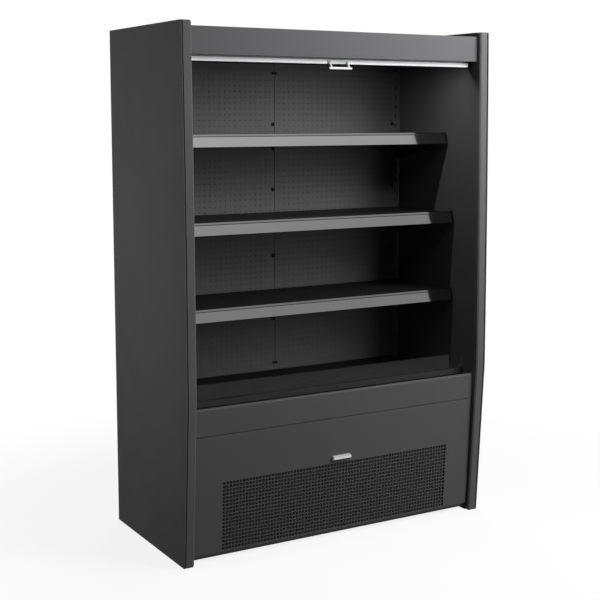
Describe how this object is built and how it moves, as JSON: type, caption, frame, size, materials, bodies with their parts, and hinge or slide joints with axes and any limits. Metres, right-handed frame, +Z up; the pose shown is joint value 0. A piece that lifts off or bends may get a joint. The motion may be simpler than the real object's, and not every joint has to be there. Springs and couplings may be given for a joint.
{
  "type": "open multideck display fridge",
  "caption": "Free-standing open refrigerated display cabinet with end panels, tilting shelves, a pull-down night blind, a clear riser, a removable front grille panel and its cooling machinery.",
  "frame": {"origin": "on the floor at the middle of the footprint", "axes": "+X to the right seen from the front, +Y to the back, +Z up; the open front faces -Y"},
  "size_m": [1.33, 0.67, 1.95],
  "materials": {
    "cabinet_paint": "satin dark grey powder coat",
    "trim_paint": "satin dark grey, slightly lighter",
    "interior_paint": "satin dark grey inside",
    "shelf_paint": "dark grey, fine texture",
    "rail_metal": "dark, glossy",
    "dark_plastic": "moulded, matt",
    "blind_aluminium": "bright anodised",
    "blind_cloth": "woven, coated",
    "handle_metal": "bright plated",
    "lamp_diffuser": "opal",
    "clear_acrylic": "clear, polished edges",
    "galvanised": "galvanised sheet",
    "coil_metal": "black coated fins and bends",
    "machine_black": "black enamel",
    "fan_plastic": "moulded",
    "foot_zinc": "zinc plated"
  },
  "bodies": {
    "cabinet": {"left_end_panel": "cabinet_paint", "right_end_panel": "cabinet_paint", "left_edge_trim": "trim_paint", "right_edge_trim": "trim_paint", "base_frame": "machine_black", "insulated_tub": "interior_paint", "insulated_back_wall": "cabinet_paint", "insulated_roof": "cabinet_paint", "rear_service_panel": "cabinet_paint", "left_duct_panel": "interior_paint", "right_duct_panel": "interior_paint", "left_upright": "interior_paint", "right_upright": "interior_paint", "ceiling_panel": "interior_paint", "canopy_fascia": "trim_paint", "outlet_honeycomb": "dark_plastic", "light_housing": "dark_plastic", "light_diffuser": "lamp_diffuser", "blind_brackets": "galvanised", "blind_cloth": "blind_cloth", "front_ledge": "interior_paint", "return_air_grille": "dark_plastic", "bumper": "cabinet_paint", "evaporator_coil": "coil_metal", "evaporator_fan_plate": "galvanised", "compressor": "machine_black", "condenser_coil": "coil_metal", "condenser_fan_shroud": "machine_black", "drip_tray": "dark_plastic", "control_box": "dark_plastic"},
    "blind_bar": {"blind_bar": "blind_aluminium", "blind_bar_end_caps": "dark_plastic", "blind_handle": "handle_metal"},
    "blind_roller": {"blind_roller_tube": "galvanised", "blind_roll": "blind_cloth"},
    "left_deck": {"left_deck_tray": "shelf_paint"},
    "right_deck": {"right_deck_tray": "shelf_paint"},
    "riser_panel": {"riser": "clear_acrylic"},
    "grille_panel": {"lower_grille_panel": "cabinet_paint", "grille_mesh": "cabinet_paint", "grille_pull": "handle_metal"},
    "left_evaporator_fan": {"left_evaporator_rotor": "fan_plastic"},
    "right_evaporator_fan": {"right_evaporator_rotor": "fan_plastic"},
    "condenser_fan": {"condenser_fan_rotor": "fan_plastic"},
    "shelf_1": {"shelf_1_plate": "shelf_paint", "shelf_1_brackets": "shelf_paint", "shelf_1_ticket_rail": "rail_metal", "shelf_1_rail_caps": "dark_plastic"},
    "shelf_2": {"shelf_2_plate": "shelf_paint", "shelf_2_brackets": "shelf_paint", "shelf_2_ticket_rail": "rail_metal", "shelf_2_rail_caps": "dark_plastic"},
    "shelf_3": {"shelf_3_plate": "shelf_paint", "shelf_3_brackets": "shelf_paint", "shelf_3_ticket_rail": "rail_metal", "shelf_3_rail_caps": "dark_plastic"},
    "foot_front_left_body": {"foot_front_left": "foot_zinc"},
    "foot_front_right_body": {"foot_front_right": "foot_zinc"},
    "foot_back_left_body": {"foot_back_left": "foot_zinc"},
    "foot_back_right_body": {"foot_back_right": "foot_zinc"}
  },
  "joints": [
    {"name": "blind_slide", "type": "slide", "parent": "cabinet", "child": "blind_bar", "axis": [0, 0, -1], "range_m": [0, 1.2], "stiffness_N_per_m": 25, "springref_m": -0.5, "deforming": ["blind_cloth"]},
    {"name": "blind_roller_turn", "type": "hinge", "parent": "cabinet", "child": "blind_roller", "pos_m": [0, -0.275, 1.863], "axis": [-1, 0, 0], "continuous": true},
    {"name": "left_deck_lift", "type": "slide", "parent": "cabinet", "child": "left_deck", "axis": [0, 0, 1], "range_m": [0, 0.12]},
    {"name": "right_deck_lift", "type": "slide", "parent": "cabinet", "child": "right_deck", "axis": [0, 0, 1], "range_m": [0, 0.12]},
    {"name": "riser_lift", "type": "slide", "parent": "cabinet", "child": "riser_panel", "axis": [0, 0, 1], "range_m": [0, 0.09]},
    {"name": "grille_panel_pull", "type": "slide", "parent": "cabinet", "child": "grille_panel", "axis": [0, -1, 0], "range_m": [0, 0.12]},
    {"name": "shelf_1_tilt", "type": "hinge", "parent": "cabinet", "child": "shelf_1", "pos_m": [0, 0.227, 1.537], "axis": [-1, 0, 0], "range_deg": [0, 10]},
    {"name": "shelf_2_tilt", "type": "hinge", "parent": "cabinet", "child": "shelf_2", "pos_m": [0, 0.227, 1.217], "axis": [-1, 0, 0], "range_deg": [0, 10]},
    {"name": "shelf_3_tilt", "type": "hinge", "parent": "cabinet", "child": "shelf_3", "pos_m": [0, 0.227, 0.897], "axis": [-1, 0, 0], "range_deg": [0, 10]},
    {"name": "left_evaporator_fan_spin", "type": "hinge", "parent": "cabinet", "child": "left_evaporator_fan", "pos_m": [-0.3, -0.073, 0.465], "axis": [0, 1, 0], "continuous": true},
    {"name": "right_evaporator_fan_spin", "type": "hinge", "parent": "cabinet", "child": "right_evaporator_fan", "pos_m": [0.3, -0.073, 0.465], "axis": [0, 1, 0], "continuous": true},
    {"name": "condenser_fan_spin", "type": "hinge", "parent": "cabinet", "child": "condenser_fan", "pos_m": [-0.27, -0.135, 0.186], "axis": [0, 1, 0], "continuous": true},
    {"name": "foot_front_left_screw", "type": "slide", "parent": "cabinet", "child": "foot_front_left_body", "axis": [0, 0, -1], "range_m": [0, 0.02]},
    {"name": "foot_front_right_screw", "type": "slide", "parent": "cabinet", "child": "foot_front_right_body", "axis": [0, 0, -1], "range_m": [0, 0.02]},
    {"name": "foot_back_left_screw", "type": "slide", "parent": "cabinet", "child": "foot_back_left_body", "axis": [0, 0, -1], "range_m": [0, 0.02]},
    {"name": "foot_back_right_screw", "type": "slide", "parent": "cabinet", "child": "foot_back_right_body", "axis": [0, 0, -1], "range_m": [0, 0.02]}
  ],
  "couplings": [
    {"joint": "blind_roller_turn", "follows": "blind_slide", "rad_per_m": 55.556}
  ]
}
